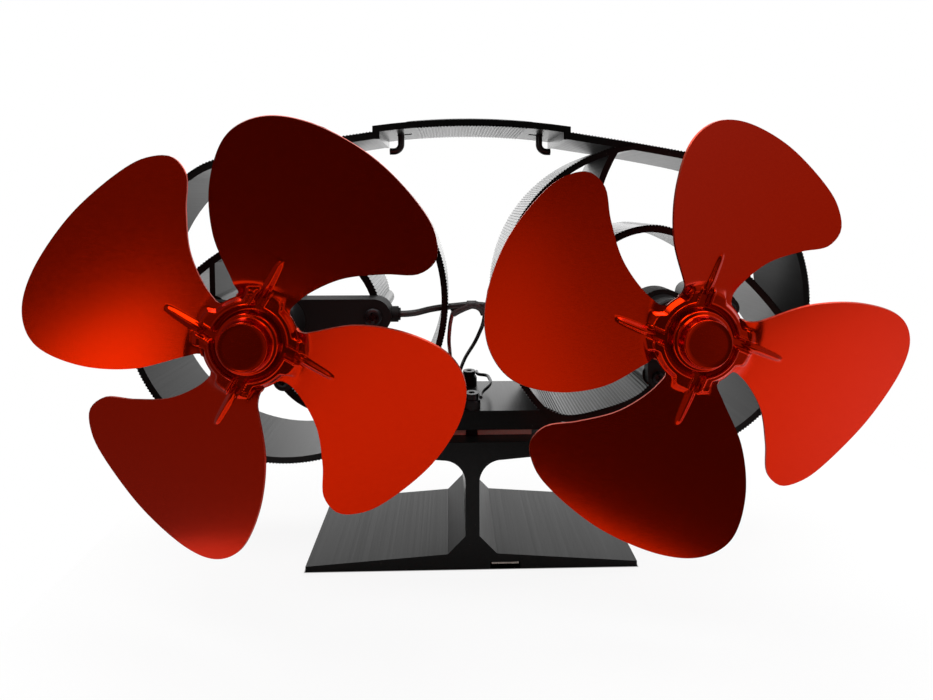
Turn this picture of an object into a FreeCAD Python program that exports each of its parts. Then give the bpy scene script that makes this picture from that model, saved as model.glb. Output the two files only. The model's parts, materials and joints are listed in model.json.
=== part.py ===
import FreeCAD, Part
import math
import os

V = FreeCAD.Vector

# A heat-powered stove fan with two heads. Millimetres, +Z up, +X to the viewer's right, front towards -Y.
# The origin is the middle of the foot's underside. Left and right are the viewer's.

# Base stand, one extrusion along Y
BASE_WIDTH = 161.0
BASE_DEPTH = 62.0
FOOT_TIP = 2.4            # plate thickness at its outer edges
FOOT_ROOT = 7.2           # plate thickness where the stem's chamfer starts
CHAMFER = 8.6             # 45 degree gusset between plate and stem
STEM_WIDTH = 6.8
PLATFORM_TOP = 61.2
PLATFORM_WIDTH = 78.0
PLATFORM_EDGE = 6.4       # platform thickness at its outer edges
PLATFORM_ROOT = 8.6       # platform thickness where the fillet starts
STEM_FILLET = 11.0

# Bimetal safety strip in the groove under the foot
GROOVE_WIDTH = 14.6
GROOVE_X = 16.0           # middle of the groove, beside the foot's middle line
GROOVE_HEIGHT = 3.0
STRIP_SIDE_GAP = 0.7
STRIP_TOP_GAP = 0.3
STRIP_THICK = 1.0
STRIP_LENGTH = 54.0
STRIP_FRONT_GAP = 0.8     # strip's front end behind the foot's front face
STRIP_SCREW_INSET = 6.0   # screw's place from the strip's rear end
STRIP_SCREW = 3.0
STRIP_SCREW_LENGTH = 4.4
STRIP_HEAD = 6.4
STRIP_HEAD_HEIGHT = 1.2
STRIP_HEAD_GAP = 0.25
STRIP_HOLE_GAP = 0.4

# Two thermoelectric modules side by side between platform and heat sink
MODULE_WIDTH = 27.0
MODULE_DEPTH = 40.0
MODULE_THICK = 3.6
MODULE_SIDE_GAP = 0.2     # each module beside the clamp bushes, which stand between the two

# Heat sink, one extrusion along Y
SINK_DEPTH = 46.0
SINK_SETBACK = 6.0        # its front face behind the foot's front face
BLOCK_THICK = 9.5
RING_X = 91.2             # ring centre from the middle
RING_RISE = 63.8          # ring centre above the block's underside
RING_RADIUS = 79.1        # outside
RING_WALL = 3.0
RING_FROM = 98.0          # the ring is open at its top, between these two polar angles
RING_TO = 413.0
ARCH_RISE = 90.4          # top of the handle section above the ring centres
ARCH_INSET = 41.9         # end of the handle section, inboard of the ring centre
ARCH_SAG = 3.5
ARCH_WALL = 3.3
STEP_WIDTH = 3.6
SHOULDER_WALL = 3.6
FIN_WALL = 3.5
LINK_WALL = 3.2
SPOKE_WALL = 2.7
# Middle lines of the fins as seen from the front, from the ring centre, outboard and up
SHOULDER_LINE = [(-42.6, 82.2), (-13.2, 77.6), (15.4, 72.6), (28.0, 70.0), (39.0, 66.6), (47.8, 61.1)]
SPIRAL_LINE = [(75.4, -24.0), (57.4, 0.2), (36.0, 20.5), (11.0, 33.6), (-0.5, 35.9), (-19.2, 31.1),
               (-34.0, 17.5), (-42.3, 4.0), (-44.0, -5.1)]
LINK_LINE = [(-19.5, 75.0), (-25.2, 63.4), (-31.2, 43.4), (-33.4, 18.5)]
LOWER_LINE = [(-56.5, -54.0), (-44.2, -58.6), (-28.2, -56.3), (-7.2, -48.6), (2.0, -39.5)]
SPOKE_LINE = [(36.2, 20.0), (35.7, -3.0)]

# Screw bosses of the heat sink, from the ring centre, and their radii
INNER_BOSS = (-44.0, -5.1)
INNER_BOSS_RADIUS = 4.2
OUTER_BOSS = (35.7, -3.0)
OUTER_BOSS_RADIUS = 6.5
LOWER_BOSS = (0.0, -37.0)
LOWER_BOSS_RADIUS = 6.0

# Clamp screws that pull the heat sink onto the modules
CLAMP_PITCH = 37.0
CLAMP_SCREW = 4.0
CLAMP_THREAD_DEPTH = 6.5
CLAMP_HEAD = 7.0
CLAMP_HEAD_HEIGHT = 3.2
CLAMP_SOCKET = 3.0        # hexagon key size across flats
CLAMP_SOCKET_DEPTH = 1.8
WASHER = 8.4
WASHER_THICK = 0.9
BUSH = 8.8
BUSH_HEIGHT = 3.6         # above the block
SLEEVE = 5.6
FIT = 0.05                # radial clearance of pieces that are pushed or screwed together

# Motors and their brackets
AXIS_DROP = 7.1           # fan axis below the ring centre
POT = 24.4
POT_LENGTH = 31.0
POT_REACH = 26.0          # front of the motor ahead of the heat sink's front
NOSE = 8.0
NOSE_LENGTH = 2.4
BRACKET_THICK = 12.0
COLLAR_WALL = 2.4
BAR_HEIGHT = 16.8
EAR_THICK = 5.0
EAR_WIDTH = 10.0
BRACKET_SCREW = 3.0
BRACKET_GRIP = 8.0        # thread of a bracket screw in its boss
BRACKET_HEAD = 5.6
BRACKET_HEAD_HEIGHT = 2.2
BAR_HEAD = 8.4
SPOUT = 7.6
SPOUT_LENGTH = 1.2
SPOUT_AHEAD = 4.4         # middle of the cable spout ahead of the heat sink's front
GLAND = 7.6
GLAND_LIP = 6.0
GLAND_LENGTH = 2.6
GLAND_LIP_LENGTH = 1.0

# Fans, stamped from sheet, on the motor shafts
SHEET = 0.9
FLANGE_REACH = 50.0       # hub flange ahead of the heat sink's front
FLANGE_RADIUS = 19.3
HUB_HEIGHT = 9.0          # hub's flat middle ahead of the flange
CAP_RADIUS = 9.6
GROOVE_RADIUS = 13.6
GROOVE_DROP = 8.2
CROWN_RADIUS = 16.4
CROWN_DROP = 6.8
BLADES = 4
BLADE_ROOT_RADIUS = 15.5
CUP_RADIUS = 256.0        # each blade is rolled to this radius
CUP_OFFSET = 70.0         # where the roll is level, from the blade's middle line
# Thin blades get bent in use: degrees that each leans back from the flange and twists about its middle
# line, as the photograph shows it, counter-clockwise from the upper right blade
BLADE_LEAN = {"left": [-15.0, 2.2, 10.3, 1.3], "right": [1.1, -3.2, 3.1, 9.0]}
BLADE_TWIST = {"left": [-0.6, 8.0, -0.9, -0.5], "right": [-4.2, -0.1, 8.4, 0.3]}
DART_ROOT = 1.9
DART_TIP = 0.7
DART_START = 17.0
DART_LENGTH = 19.5
DART_ASIDE = 4.9          # a dart's place to the left of its blade's middle line
DART_SINK = 4.0           # degrees that a dart runs into its blade
DART_BACK = 0.15          # a dart's middle line behind the flange's front
FAN_TURN = {"left": 58.9, "right": 67.5}   # degrees that each fan stands turned in the photograph
# Rim of a blade as polar points about the axis: radius, degrees to the left of its middle line
BLADE_RIM = [(26.0, 42.0), (44.4, 42.3), (64.0, 36.7), (80.0, 29.6), (87.3, 22.0), (89.8, 12.5),
             (89.3, -3.5), (87.7, -20.5), (86.3, -28.5), (81.8, -35.0), (73.2, -37.0), (60.0, -32.0),
             (44.4, -24.3), (29.0, -19.0)]
SHAFT = 3.0
SHAFT_IN_POT = 24.0
SHAFT_RUN = 0.05          # radial running clearance
FAN_BUSH = 9.0
FAN_BUSH_LENGTH = 13.0

# Wire handle through two slots in the arch
HANDLE_WIRE = 3.5
HANDLE_HALF = 37.0
HANDLE_BEND = 5.0
HANDLE_FOOT = 6.0
HANDLE_FOOT_BEND = 4.0
HANDLE_LEG = 16.1         # middle of the grip to middle of the foot
HANDLE_REST_GAP = 0.3
SLOT_GAP = 0.35
SLOT_INWARD = 4.0         # the slot runs on inboard of the leg, so that the hook passes

# Wiring
CABLE = 3.2
LEAD = 2.0
SLEEVE_TUBE = 4.2
CABLE_DEPTH = 5.2         # cable behind the heat sink's front where it passes the ring walls
CABLE_RISE = 1.3          # and above the spout
CABLE_HOLE = 5.4
SPLICE_HALF = 2.4
SPLICE_RISE = 1.2         # cables' ends above their holes
LEAD_BEHIND = 4.0         # leads behind the heat sink where they turn down to the modules
LOCK_WIRE = 1.8

# Places worked out from the sizes above
FOOT_FRONT = -BASE_DEPTH / 2
SINK_FRONT = FOOT_FRONT + SINK_SETBACK
SINK_MIDDLE = SINK_FRONT + SINK_DEPTH / 2
SINK_BACK = SINK_FRONT + SINK_DEPTH
BLOCK_BOTTOM = PLATFORM_TOP + MODULE_THICK
BLOCK_TOP = BLOCK_BOTTOM + BLOCK_THICK
RING_Z = BLOCK_BOTTOM + RING_RISE
AXIS_Z = RING_Z - AXIS_DROP
ARCH_TOP = RING_Z + ARCH_RISE
ARCH_HALF = RING_X - ARCH_INSET
POT_FRONT = SINK_FRONT - POT_REACH
FLANGE_Y = SINK_FRONT - FLANGE_REACH
CAP_Y = FLANGE_Y - HUB_HEIGHT
SIDES = {"left": -1, "right": 1}

os.makedirs("parts", exist_ok=True)


def save(name, shapes):
    """Writes one node from one solid or a list of them."""
    solids = shapes if isinstance(shapes, list) else [shapes]
    shape = solids[0] if len(solids) == 1 else Part.makeCompound(solids)
    shape.exportStep("parts/%s.step" % name)
    count = len(shape.Solids)
    print("%-22s solids %d volume %.0f valid %s" % (name, count, shape.Volume, shape.isValid()))


def rod(radius, start, end):
    """A cylinder between two points."""
    line = end - start
    return Part.makeCylinder(radius, line.Length, start, line)


def along_y(radius, x, z, front, back):
    return rod(radius, V(x, front, z), V(x, back, z))


def block(x0, x1, y0, y1, z0, z1):
    return Part.makeBox(x1 - x0, y1 - y0, z1 - z0, V(x0, y0, z0))


def join(shapes):
    return shapes[0].multiFuse(shapes[1:]).removeSplitter()


def plate(edges, front, depth):
    """Extrudes a closed outline that lies in the XZ plane."""
    face = Part.Face(Part.Wire(Part.__sortEdges__(edges)))
    face.translate(V(0, front, 0))
    return face.extrude(V(0, depth, 0))


def outline(points):
    closed = points + [points[0]]
    return [Part.makeLine(a, b) for a, b in zip(closed[:-1], closed[1:])]


def spline_through(points):
    curve = Part.BSplineCurve()
    curve.interpolate(points)
    return curve


def band(points, wall, front, depth):
    """A fin of even wall that follows a smooth middle line in the XZ plane."""
    middle = spline_through(points)
    sides = []
    for half in (wall / 2, -wall / 2):
        moved = []
        for point in points:
            along = middle.tangent(middle.parameter(point))[0]
            moved.append(point + V(-along.z, 0, along.x) * half)
        sides.append(moved)
    edges = [spline_through(sides[0]).toShape(), spline_through(sides[1]).toShape()]
    edges.append(Part.makeLine(sides[0][0], sides[1][0]))
    edges.append(Part.makeLine(sides[0][-1], sides[1][-1]))
    return plate(edges, front, depth)


def strip(a, b, wall, front, depth):
    """A straight web between two points in the XZ plane."""
    along = (b - a).normalize()
    across = V(-along.z, 0, along.x) * (wall / 2)
    return plate(outline([a + across, b + across, b - across, a - across]), front, depth)


def stadium(a, b, width, front, depth):
    """A web with round ends."""
    ends = [along_y(width / 2, p.x, p.z, front, front + depth) for p in (a, b)]
    return join([strip(a, b, width, front, depth)] + ends)


def polar(radius, degrees):
    angle = math.radians(degrees)
    return V(radius * math.cos(angle), 0, radius * math.sin(angle))


def tube_path(points):
    """Straight runs joined by tangent arcs, each as large as its two runs allow."""
    edges = []
    radii = []
    at = points[0]
    last = len(points) - 1
    for i in range(1, last):
        corner = points[i]
        run_in = points[i - 1] - corner
        run_out = points[i + 1] - corner
        turn = math.pi - run_in.getAngle(run_out)
        room_in = run_in.Length * (0.9 if i == 1 else 0.45)
        room_out = run_out.Length * (0.9 if i == last - 1 else 0.45)
        cut = min(room_in, room_out)
        radii.append(cut / math.tan(turn / 2))
        start = corner + run_in.normalize() * cut
        end = corner + run_out.normalize() * cut
        bisector = (run_in + run_out).normalize()
        reach = radii[-1] / math.cos(turn / 2) - radii[-1]
        if (start - at).Length > 1e-6:
            edges.append(Part.makeLine(at, start))
        edges.append(Part.Arc(start, corner + bisector * reach, end).toShape())
        at = end
    edges.append(Part.makeLine(at, points[-1]))
    return Part.Wire(edges), radii


def tube(name, points, diameter):
    """A round wire along a path, with its volume compared with its section times its length."""
    path, radii = tube_path(points)
    section = Part.Wire(Part.makeCircle(diameter / 2, points[0], points[1] - points[0]))
    solid = path.makePipeShell([section], True, False)
    ideal = math.pi * diameter ** 2 / 4 * path.Length
    print("  %s length %.1f volume ratio %.4f radii %s"
          % (name, path.Length, solid.Volume / ideal, [round(r, 1) for r in radii]))
    return solid


def hexagon_hole(across, x, y, top, depth):
    points = [V(x, y, top) + V(math.cos(a), math.sin(a), 0) * (across / math.sqrt(3))
              for a in [math.radians(60 * i) for i in range(6)]]
    face = Part.Face(Part.makePolygon(points + [points[0]]))
    return face.extrude(V(0, 0, -depth))


# Base stand: foot plate, gusseted stem and flared platform in one profile
def base_stand():
    foot_x = STEM_WIDTH / 2 + CHAMFER
    platform_bottom = PLATFORM_TOP - PLATFORM_ROOT
    fillet_x = STEM_WIDTH / 2 + STEM_FILLET
    fillet_z = platform_bottom - STEM_FILLET
    corner = STEM_FILLET * (1 - math.sqrt(0.5))
    right = [V(BASE_WIDTH / 2, 0, 0), V(BASE_WIDTH / 2, 0, FOOT_TIP), V(foot_x, 0, FOOT_ROOT),
             V(STEM_WIDTH / 2, 0, FOOT_ROOT + CHAMFER), V(STEM_WIDTH / 2, 0, fillet_z)]
    upper = [V(fillet_x, 0, platform_bottom), V(PLATFORM_WIDTH / 2, 0, PLATFORM_TOP - PLATFORM_EDGE),
             V(PLATFORM_WIDTH / 2, 0, PLATFORM_TOP)]
    middle = V(STEM_WIDTH / 2 + corner, 0, platform_bottom - corner)
    edges = []
    for sign in (1, -1):
        half = [V(sign * p.x, 0, p.z) for p in right]
        high = [V(sign * p.x, 0, p.z) for p in upper]
        edges += [Part.makeLine(a, b) for a, b in zip(half[:-1], half[1:])]
        edges += [Part.makeLine(a, b) for a, b in zip(high[:-1], high[1:])]
        edges.append(Part.Arc(half[-1], V(sign * middle.x, 0, middle.z), high[0]).toShape())
    for width, z in ((BASE_WIDTH, 0), (PLATFORM_WIDTH, PLATFORM_TOP)):
        edges.append(Part.makeLine(V(-width / 2, 0, z), V(width / 2, 0, z)))
    body = plate(edges, FOOT_FRONT, BASE_DEPTH)
    body = body.cut(block(GROOVE_X - GROOVE_WIDTH / 2, GROOVE_X + GROOVE_WIDTH / 2, FOOT_FRONT,
                          FOOT_FRONT + BASE_DEPTH, 0, GROOVE_HEIGHT))
    for y in clamp_places():
        bottom = PLATFORM_TOP - CLAMP_THREAD_DEPTH
        body = body.cut(rod(CLAMP_SCREW / 2 + FIT, V(0, y, bottom), V(0, y, PLATFORM_TOP)))
    y = strip_screw_y()
    hole_top = GROOVE_HEIGHT - STRIP_TOP_GAP - STRIP_THICK - STRIP_HEAD_GAP + STRIP_SCREW_LENGTH
    return body.cut(rod(STRIP_SCREW / 2 + FIT, V(GROOVE_X, y, 0), V(GROOVE_X, y, hole_top)))


def clamp_places():
    return [SINK_MIDDLE - CLAMP_PITCH / 2, SINK_MIDDLE + CLAMP_PITCH / 2]


def strip_screw_y():
    return FOOT_FRONT + STRIP_FRONT_GAP + STRIP_LENGTH - STRIP_SCREW_INSET


save("base_stand", base_stand())

# Bimetal strip: fixed by one screw near the back, free to bend down at the front
strip_top = GROOVE_HEIGHT - STRIP_TOP_GAP
strip_bottom = strip_top - STRIP_THICK
strip_half = GROOVE_WIDTH / 2 - STRIP_SIDE_GAP
strip_y = FOOT_FRONT + STRIP_FRONT_GAP
bimetal = block(GROOVE_X - strip_half, GROOVE_X + strip_half, strip_y, strip_y + STRIP_LENGTH,
                strip_bottom, strip_top)
screw_y = strip_screw_y()
strip_hole = rod(STRIP_SCREW / 2 + STRIP_HOLE_GAP, V(GROOVE_X, screw_y, 0),
                 V(GROOVE_X, screw_y, GROOVE_HEIGHT))
save("bimetal_strip", bimetal.cut(strip_hole))
head_top = strip_bottom - STRIP_HEAD_GAP
strip_head = rod(STRIP_HEAD / 2, V(GROOVE_X, screw_y, head_top - STRIP_HEAD_HEIGHT),
                 V(GROOVE_X, screw_y, head_top))
strip_shank = rod(STRIP_SCREW / 2, V(GROOVE_X, screw_y, head_top),
                  V(GROOVE_X, screw_y, head_top + STRIP_SCREW_LENGTH))
save("bimetal_screw", join([strip_head, strip_shank]))

# Thermoelectric modules
module_y = SINK_MIDDLE - MODULE_DEPTH / 2
module_x = SLEEVE / 2 + MODULE_SIDE_GAP
modules = [block(x, x + MODULE_WIDTH, module_y, module_y + MODULE_DEPTH, PLATFORM_TOP, BLOCK_BOTTOM)
           for x in (module_x, -module_x - MODULE_WIDTH)]
save("thermo_modules", modules)


# Heat sink: middle block, two rings with spiral fins, and the arch that carries the handle
def sink_point(sign, offset):
    return V(sign * (RING_X + offset[0]), 0, RING_Z + offset[1])


def ring_wall(sign):
    outer = RING_RADIUS
    inner = RING_RADIUS - RING_WALL
    span = (RING_FROM + RING_TO) / 2
    edges = []
    for radius in (outer, inner):
        places = [polar(radius, a) for a in (RING_FROM, span, RING_TO)]
        three = [sink_point(sign, (p.x, p.z)) for p in places]
        edges.append(Part.Arc(three[0], three[1], three[2]).toShape())
    for angle in (RING_FROM, RING_TO):
        a, b = [sink_point(sign, (polar(r, angle).x, polar(r, angle).z)) for r in (inner, outer)]
        edges.append(Part.makeLine(a, b))
    return plate(edges, SINK_FRONT, SINK_DEPTH)


def arch():
    """The raised handle section, an arc with a step down at each end."""
    end = ARCH_TOP - ARCH_SAG
    edges = []
    for drop in (0, ARCH_WALL):
        ends = [V(s * ARCH_HALF, 0, end - drop) for s in (-1, 1)]
        edges.append(Part.Arc(ends[0], V(0, 0, ARCH_TOP - drop), ends[1]).toShape())
    for s in (-1, 1):
        edges.append(Part.makeLine(V(s * ARCH_HALF, 0, end), V(s * ARCH_HALF, 0, end - ARCH_WALL)))
    return plate(edges, SINK_FRONT, SINK_DEPTH)


def step(sign):
    """Joins one end of the handle section to the shoulder below it."""
    inner = ARCH_HALF - STEP_WIDTH
    top = ARCH_TOP - ARCH_SAG
    start = sink_point(1, SHOULDER_LINE[0]).z
    foot = start - SHOULDER_WALL / 2
    x0, x1 = sorted((sign * inner, sign * ARCH_HALF))
    return block(x0, x1, SINK_FRONT, SINK_BACK, foot, top)


def heat_sink():
    pieces = [block(-RING_X / 2, RING_X / 2, SINK_FRONT, SINK_BACK, BLOCK_BOTTOM, BLOCK_TOP)]
    for sign in (-1, 1):
        room = along_y(RING_RADIUS - RING_WALL / 2, sign * RING_X, RING_Z, SINK_FRONT, SINK_BACK)
        pieces[0] = pieces[0].cut(room)
    pieces.append(arch())
    for sign in (-1, 1):
        pieces.append(ring_wall(sign))
        pieces.append(step(sign))
        for line, wall in ((SHOULDER_LINE, SHOULDER_WALL), (SPIRAL_LINE, FIN_WALL), (LINK_LINE, LINK_WALL),
                           (LOWER_LINE, FIN_WALL)):
            pieces.append(band([sink_point(sign, p) for p in line], wall, SINK_FRONT, SINK_DEPTH))
        ends = [sink_point(sign, p) for p in SPOKE_LINE]
        pieces.append(strip(ends[0], ends[1], SPOKE_WALL, SINK_FRONT, SINK_DEPTH))
        for place, radius in bosses():
            at = sink_point(sign, place)
            pieces.append(along_y(radius, at.x, at.z, SINK_FRONT, SINK_BACK))
    body = join(pieces)
    holes = []
    for sign in (-1, 1):
        for place, radius in bosses():
            at = sink_point(sign, place)
            holes.append(along_y(BRACKET_SCREW / 2 + FIT, at.x, at.z, SINK_FRONT, SINK_BACK))
        wall_x = sign * (RING_X - RING_RADIUS)
        y = SINK_FRONT + CABLE_DEPTH
        holes.append(rod(CABLE_HOLE / 2, V(wall_x - sign * RING_WALL, y, cable_z()),
                         V(wall_x + sign * 2 * RING_WALL, y, cable_z())))
        x0, x1 = sorted((sign * (HANDLE_HALF + HANDLE_WIRE / 2 + SLOT_GAP),
                         sign * (HANDLE_HALF - HANDLE_WIRE / 2 - SLOT_INWARD)))
        slot_half = HANDLE_WIRE / 2 + SLOT_GAP
        holes.append(block(x0, x1, SINK_MIDDLE - slot_half, SINK_MIDDLE + slot_half,
                           ARCH_TOP - ARCH_SAG - 2 * ARCH_WALL, ARCH_TOP + ARCH_WALL))
    for y in clamp_places():
        holes.append(rod(SLEEVE / 2 + FIT, V(0, y, BLOCK_BOTTOM), V(0, y, BLOCK_TOP)))
    for hole in holes:
        body = body.cut(hole)
    return body


def bosses():
    return [(INNER_BOSS, INNER_BOSS_RADIUS), (OUTER_BOSS, OUTER_BOSS_RADIUS),
            (LOWER_BOSS, LOWER_BOSS_RADIUS)]


def cable_z():
    return RING_Z + INNER_BOSS[1] + CABLE_RISE


save("heat_sink", heat_sink())

# Clamp screws with their washers and insulating bushes
clamp_screws = []
washers = []
bushes = []
for y in clamp_places():
    seat = BLOCK_TOP + BUSH_HEIGHT
    under_head = seat + WASHER_THICK
    bush = join([rod(BUSH / 2, V(0, y, BLOCK_TOP), V(0, y, seat)),
                 rod(SLEEVE / 2, V(0, y, PLATFORM_TOP), V(0, y, seat))])
    bore = rod(CLAMP_SCREW / 2 + FIT, V(0, y, PLATFORM_TOP), V(0, y, under_head))
    bushes.append(bush.cut(bore))
    washers.append(rod(WASHER / 2, V(0, y, seat), V(0, y, under_head)).cut(bore))
    head = rod(CLAMP_HEAD / 2, V(0, y, under_head), V(0, y, under_head + CLAMP_HEAD_HEIGHT))
    shank = rod(CLAMP_SCREW / 2, V(0, y, PLATFORM_TOP - CLAMP_THREAD_DEPTH), V(0, y, under_head))
    socket = hexagon_hole(CLAMP_SOCKET, 0, y, under_head + CLAMP_HEAD_HEIGHT, CLAMP_SOCKET_DEPTH)
    clamp_screws.append(join([head, shank]).cut(socket))
save("clamp_screws", clamp_screws)
save("clamp_washers", washers)
save("clamp_bushes", bushes)


# Motor, bracket, screws, cable gland and fan of one head
def bracket(sign):
    axis = V(sign * RING_X, 0, AXIS_Z)
    front = SINK_FRONT - BRACKET_THICK
    inner = sink_point(sign, INNER_BOSS)
    collar = along_y(POT / 2 + COLLAR_WALL, axis.x, axis.z, front, SINK_FRONT)
    bar = stadium(V(axis.x, 0, inner.z), inner, BAR_HEIGHT, front, BRACKET_THICK)
    pieces = [collar, bar]
    for place in (OUTER_BOSS, LOWER_BOSS):
        at = sink_point(sign, place)
        pieces.append(stadium(axis, at, EAR_WIDTH, SINK_FRONT - EAR_THICK, EAR_THICK))
    end = gland_start(sign)
    pieces.append(rod(SPOUT / 2, V(inner.x - sign * BAR_HEIGHT / 3, end.y, end.z), end))
    body = join(pieces)
    body = body.cut(along_y(POT / 2 + FIT, axis.x, axis.z, front, SINK_FRONT))
    for place, radius in bosses():
        at = sink_point(sign, place)
        body = body.cut(along_y(BRACKET_SCREW / 2 + FIT, at.x, at.z, front, SINK_FRONT))
    return body


def bracket_screws(sign):
    seats = [(INNER_BOSS, BRACKET_THICK, BAR_HEAD), (OUTER_BOSS, EAR_THICK, BRACKET_HEAD),
             (LOWER_BOSS, EAR_THICK, BRACKET_HEAD)]
    screws = []
    for place, thick, head in seats:
        at = sink_point(sign, place)
        seat = SINK_FRONT - thick
        cap = along_y(head / 2, at.x, at.z, seat - BRACKET_HEAD_HEIGHT, seat)
        shank = along_y(BRACKET_SCREW / 2, at.x, at.z, seat, SINK_FRONT + BRACKET_GRIP)
        face = seat - BRACKET_HEAD_HEIGHT
        dimple = along_y(BRACKET_SCREW / 2, at.x, at.z, face, face + BRACKET_HEAD_HEIGHT / 2)
        screws.append(join([cap, shank]).cut(dimple))
    return screws


def motor(sign):
    x = sign * RING_X
    pot = along_y(POT / 2, x, AXIS_Z, POT_FRONT, POT_FRONT + POT_LENGTH)
    rim = [e for e in pot.Edges if e.Curve.TypeId == "Part::GeomCircle"]
    pot = pot.makeFillet(COLLAR_WALL / 2, rim)
    nose = along_y(NOSE / 2, x, AXIS_Z, POT_FRONT - NOSE_LENGTH, POT_FRONT + NOSE_LENGTH)
    bore_end = POT_FRONT + SHAFT_IN_POT + SHAFT
    bore = along_y(SHAFT / 2 + SHAFT_RUN, x, AXIS_Z, POT_FRONT - NOSE_LENGTH, bore_end)
    return join([pot, nose]).cut(bore)


def gland_start(sign):
    inner = sink_point(sign, INNER_BOSS)
    return V(inner.x - sign * (BAR_HEIGHT / 2 + SPOUT_LENGTH), SINK_FRONT - SPOUT_AHEAD, inner.z)


def gland(sign):
    start = gland_start(sign)
    along = V(-sign, 0, 0)
    body = join([rod(GLAND / 2, start, start + along * (GLAND_LENGTH - GLAND_LIP_LENGTH)),
                 rod(GLAND_LIP / 2, start, start + along * GLAND_LENGTH)])
    return body


def hub():
    """Half section of the stamped hub, turned about the fan's axis."""
    front = [(0, CAP_Y), (CAP_RADIUS, CAP_Y), (CAP_RADIUS + SHEET, CAP_Y + GROOVE_DROP),
             (GROOVE_RADIUS - SHEET / 2, CAP_Y + GROOVE_DROP),
             (GROOVE_RADIUS + SHEET / 2, CAP_Y + CROWN_DROP), (CROWN_RADIUS, CAP_Y + CROWN_DROP),
             (CROWN_RADIUS + 2 * SHEET, FLANGE_Y), (FLANGE_RADIUS, FLANGE_Y)]
    back = [(max(r - SHEET / 2, 0), y + SHEET) if i < len(front) - 1 else (r, y + SHEET)
            for i, (r, y) in enumerate(front)]
    points = [V(r, y, 0) for r, y in front + back[::-1]]
    face = Part.Face(Part.makePolygon(points + [points[0]]))
    return face.revolve(V(0, 0, 0), V(0, 1, 0), 360)


def blade(lean, twist):
    """One blade about the fan's axis, its middle line along +X: a rolled sheet, bent, cut to the rim."""
    rim = [polar(r, a) for r, a in BLADE_RIM]
    foot = [polar(BLADE_ROOT_RADIUS, BLADE_RIM[-1][1]), polar(BLADE_ROOT_RADIUS, BLADE_RIM[0][1])]
    edges = [spline_through(rim).toShape(), Part.makeLine(rim[-1], foot[0]),
             Part.makeLine(foot[0], foot[1]), Part.makeLine(foot[1], rim[0])]
    reach = max(r for r, a in BLADE_RIM)
    cutter = plate(edges, FLANGE_Y - reach, 2 * reach)
    start = V(-reach, -math.sqrt(CUP_RADIUS ** 2 - CUP_OFFSET ** 2), -CUP_OFFSET)
    outer = Part.makeCylinder(CUP_RADIUS + SHEET, 3 * reach, start, V(1, 0, 0))
    inner = Part.makeCylinder(CUP_RADIUS, 3 * reach, start, V(1, 0, 0))
    rolled = outer.cut(inner)
    rolled.rotate(V(0, 0, 0), V(-1, 0, 0), twist)
    rolled.rotate(V(FLANGE_RADIUS, 0, 0), V(0, 0, 1), lean)
    rolled.translate(V(0, FLANGE_Y, 0))
    return rolled.common(cutter).Solids[0]


def dart(lean):
    """The pressed stiffening rib across a blade's root."""
    start = V(DART_START, FLANGE_Y - DART_BACK, DART_ASIDE)
    along = V(1, math.tan(math.radians(lean + DART_SINK)), 0)
    return Part.makeCone(DART_ROOT, DART_TIP, DART_LENGTH, start, along)


def fan(side):
    blades = []
    darts = []
    for i in range(BLADES):
        lean = BLADE_LEAN[side][i]
        blades.append(blade(lean, BLADE_TWIST[side][i]))
        darts.append(dart(lean))
        for piece in (blades[i], darts[i]):
            piece.rotate(V(0, 0, 0), V(0, -1, 0), FAN_TURN[side] + i * 360.0 / BLADES)
    whole = hub()
    for piece in blades + darts:
        whole = whole.fuse(piece)
    whole.translate(V(SIDES[side] * RING_X, 0, AXIS_Z))
    return whole


for side, sign in SIDES.items():
    x = sign * RING_X
    save("motor_bracket_" + side, bracket(sign))
    save("bracket_screws_" + side, bracket_screws(sign))
    save("motor_" + side, motor(sign))
    save("cable_gland_" + side, gland(sign))
    save("fan_" + side, fan(side))
    bush_back = CAP_Y + SHEET + FAN_BUSH_LENGTH
    bush = along_y(FAN_BUSH / 2, x, AXIS_Z, CAP_Y + SHEET, bush_back)
    save("fan_bush_" + side, bush.cut(along_y(SHAFT / 2 + FIT, x, AXIS_Z, CAP_Y + SHEET, bush_back)))
    save("shaft_" + side, along_y(SHAFT / 2, x, AXIS_Z, CAP_Y + SHEET, POT_FRONT + SHAFT_IN_POT))

# Wire handle: a grip that follows the arch, two legs through the slots, hooked feet
grip_z = ARCH_TOP + HANDLE_REST_GAP + HANDLE_WIRE / 2
foot_z = grip_z - HANDLE_LEG
arch_radius = (ARCH_HALF ** 2 + ARCH_SAG ** 2) / (2 * ARCH_SAG)
grip_radius = arch_radius + grip_z - ARCH_TOP
grip_slope = math.asin((HANDLE_HALF - HANDLE_BEND) / (grip_radius - HANDLE_BEND))


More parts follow.
